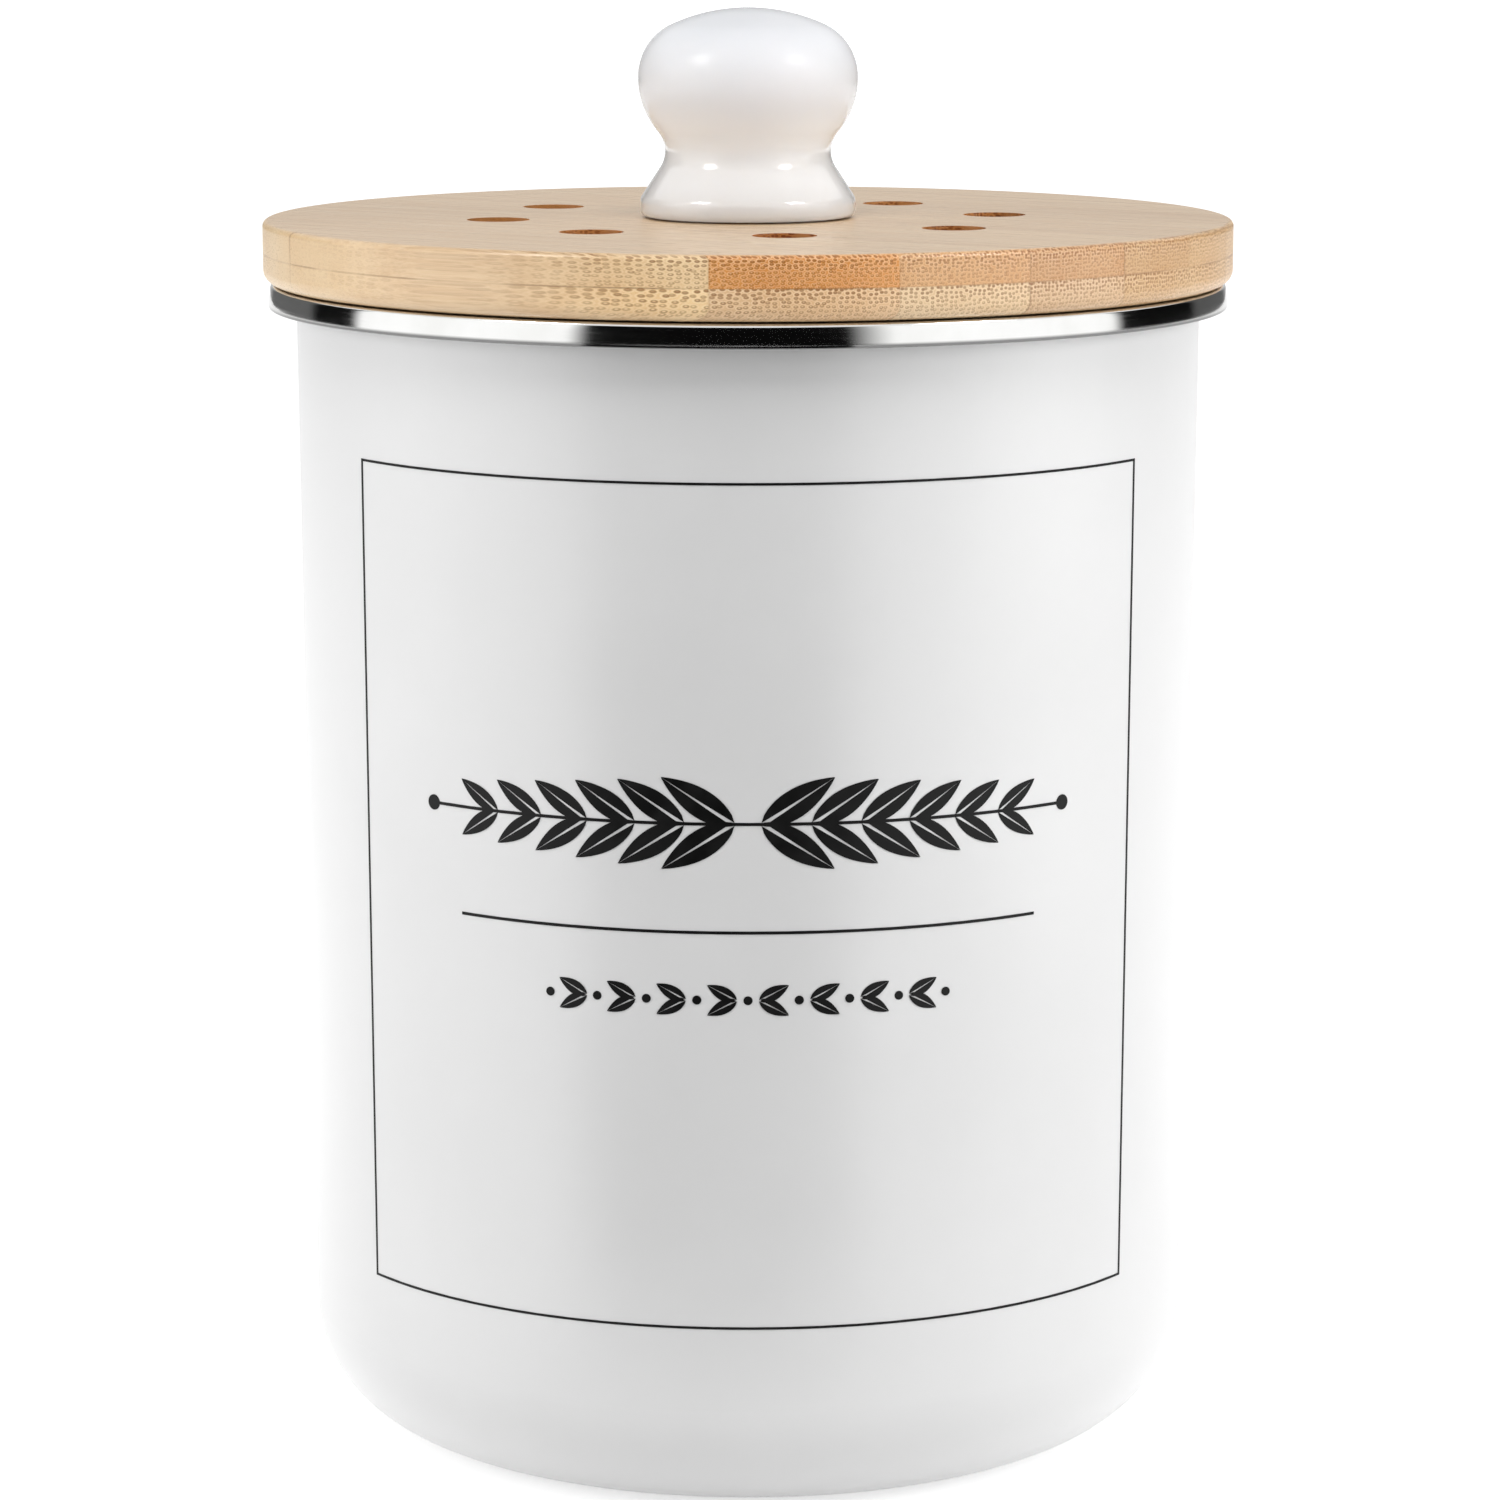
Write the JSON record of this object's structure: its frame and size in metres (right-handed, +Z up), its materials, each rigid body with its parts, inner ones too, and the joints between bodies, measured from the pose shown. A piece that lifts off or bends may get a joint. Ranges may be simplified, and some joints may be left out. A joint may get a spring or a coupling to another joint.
{
  "type": "compost caddy",
  "caption": "Round enamelled kitchen compost caddy with a polished rim hoop, a lift-out bucket, and a vented bamboo lid with an odour filter and a ceramic knob.",
  "frame": {"origin": "centre of the pail's standing ring, on the surface that it stands on", "axes": "+Z up along the pail's axis, -Y towards the front with the printed panel, +X to the viewer's right"},
  "size_m": [0.17, 0.17, 0.251],
  "materials": {
    "enamel": "satin white enamel",
    "polished_stainless": "polished stainless steel",
    "bucket_plastic": "moulded polypropylene, fine texture",
    "bamboo": "oiled laminated bamboo",
    "silicone": "translucent white silicone",
    "carbon_foam": "activated carbon foam",
    "clip_plastic": "moulded plastic",
    "zinc_steel": "zinc plated",
    "white_glaze": "clear white glaze",
    "brass": "machined"
  },
  "bodies": {
    "pail": {"pail_shell": "enamel", "rim_hoop": "polished_stainless"},
    "bucket": {"inner_bucket": "bucket_plastic"},
    "lid": {"top_strip_1": "bamboo", "top_strip_2": "bamboo", "top_strip_3": "bamboo", "top_strip_4": "bamboo", "top_strip_5": "bamboo", "top_strip_6": "bamboo", "top_strip_7": "bamboo", "top_strip_8": "bamboo", "top_strip_9": "bamboo", "bottom_strip_1": "bamboo", "bottom_strip_2": "bamboo", "bottom_strip_3": "bamboo", "bottom_strip_4": "bamboo", "bottom_strip_5": "bamboo", "bottom_strip_6": "bamboo", "bottom_strip_7": "bamboo", "bottom_strip_8": "bamboo", "bottom_strip_9": "bamboo", "lid_plug": "bamboo", "lid_seal": "silicone", "charcoal_filter": "carbon_foam", "clip_screws": "zinc_steel", "knob": "white_glaze", "knob_insert": "brass", "knob_screw": "zinc_steel", "knob_washer": "zinc_steel"},
    "clip_1": {"filter_clip_1": "clip_plastic"},
    "clip_2": {"filter_clip_2": "clip_plastic"},
    "clip_3": {"filter_clip_3": "clip_plastic"}
  },
  "joints": [
    {"name": "bucket_lift", "type": "slide", "parent": "pail", "child": "bucket", "axis": [0, 0, 1], "range_m": [0, 0.21]},
    {"name": "lid_lift", "type": "slide", "parent": "bucket", "child": "lid", "axis": [0, 0, 1], "range_m": [0, 0.2]},
    {"name": "clip_turn_1", "type": "hinge", "parent": "lid", "child": "clip_1", "pos_m": [0, 0.06495, 0.1923], "axis": [0, 0, 1], "range_deg": [-90, 90]},
    {"name": "clip_turn_2", "type": "hinge", "parent": "lid", "child": "clip_2", "pos_m": [-0.05625, -0.03247, 0.1923], "axis": [0, 0, 1], "range_deg": [-90, 90]},
    {"name": "clip_turn_3", "type": "hinge", "parent": "lid", "child": "clip_3", "pos_m": [0.05625, -0.03247, 0.1923], "axis": [0, 0, 1], "range_deg": [-90, 90]}
  ]
}
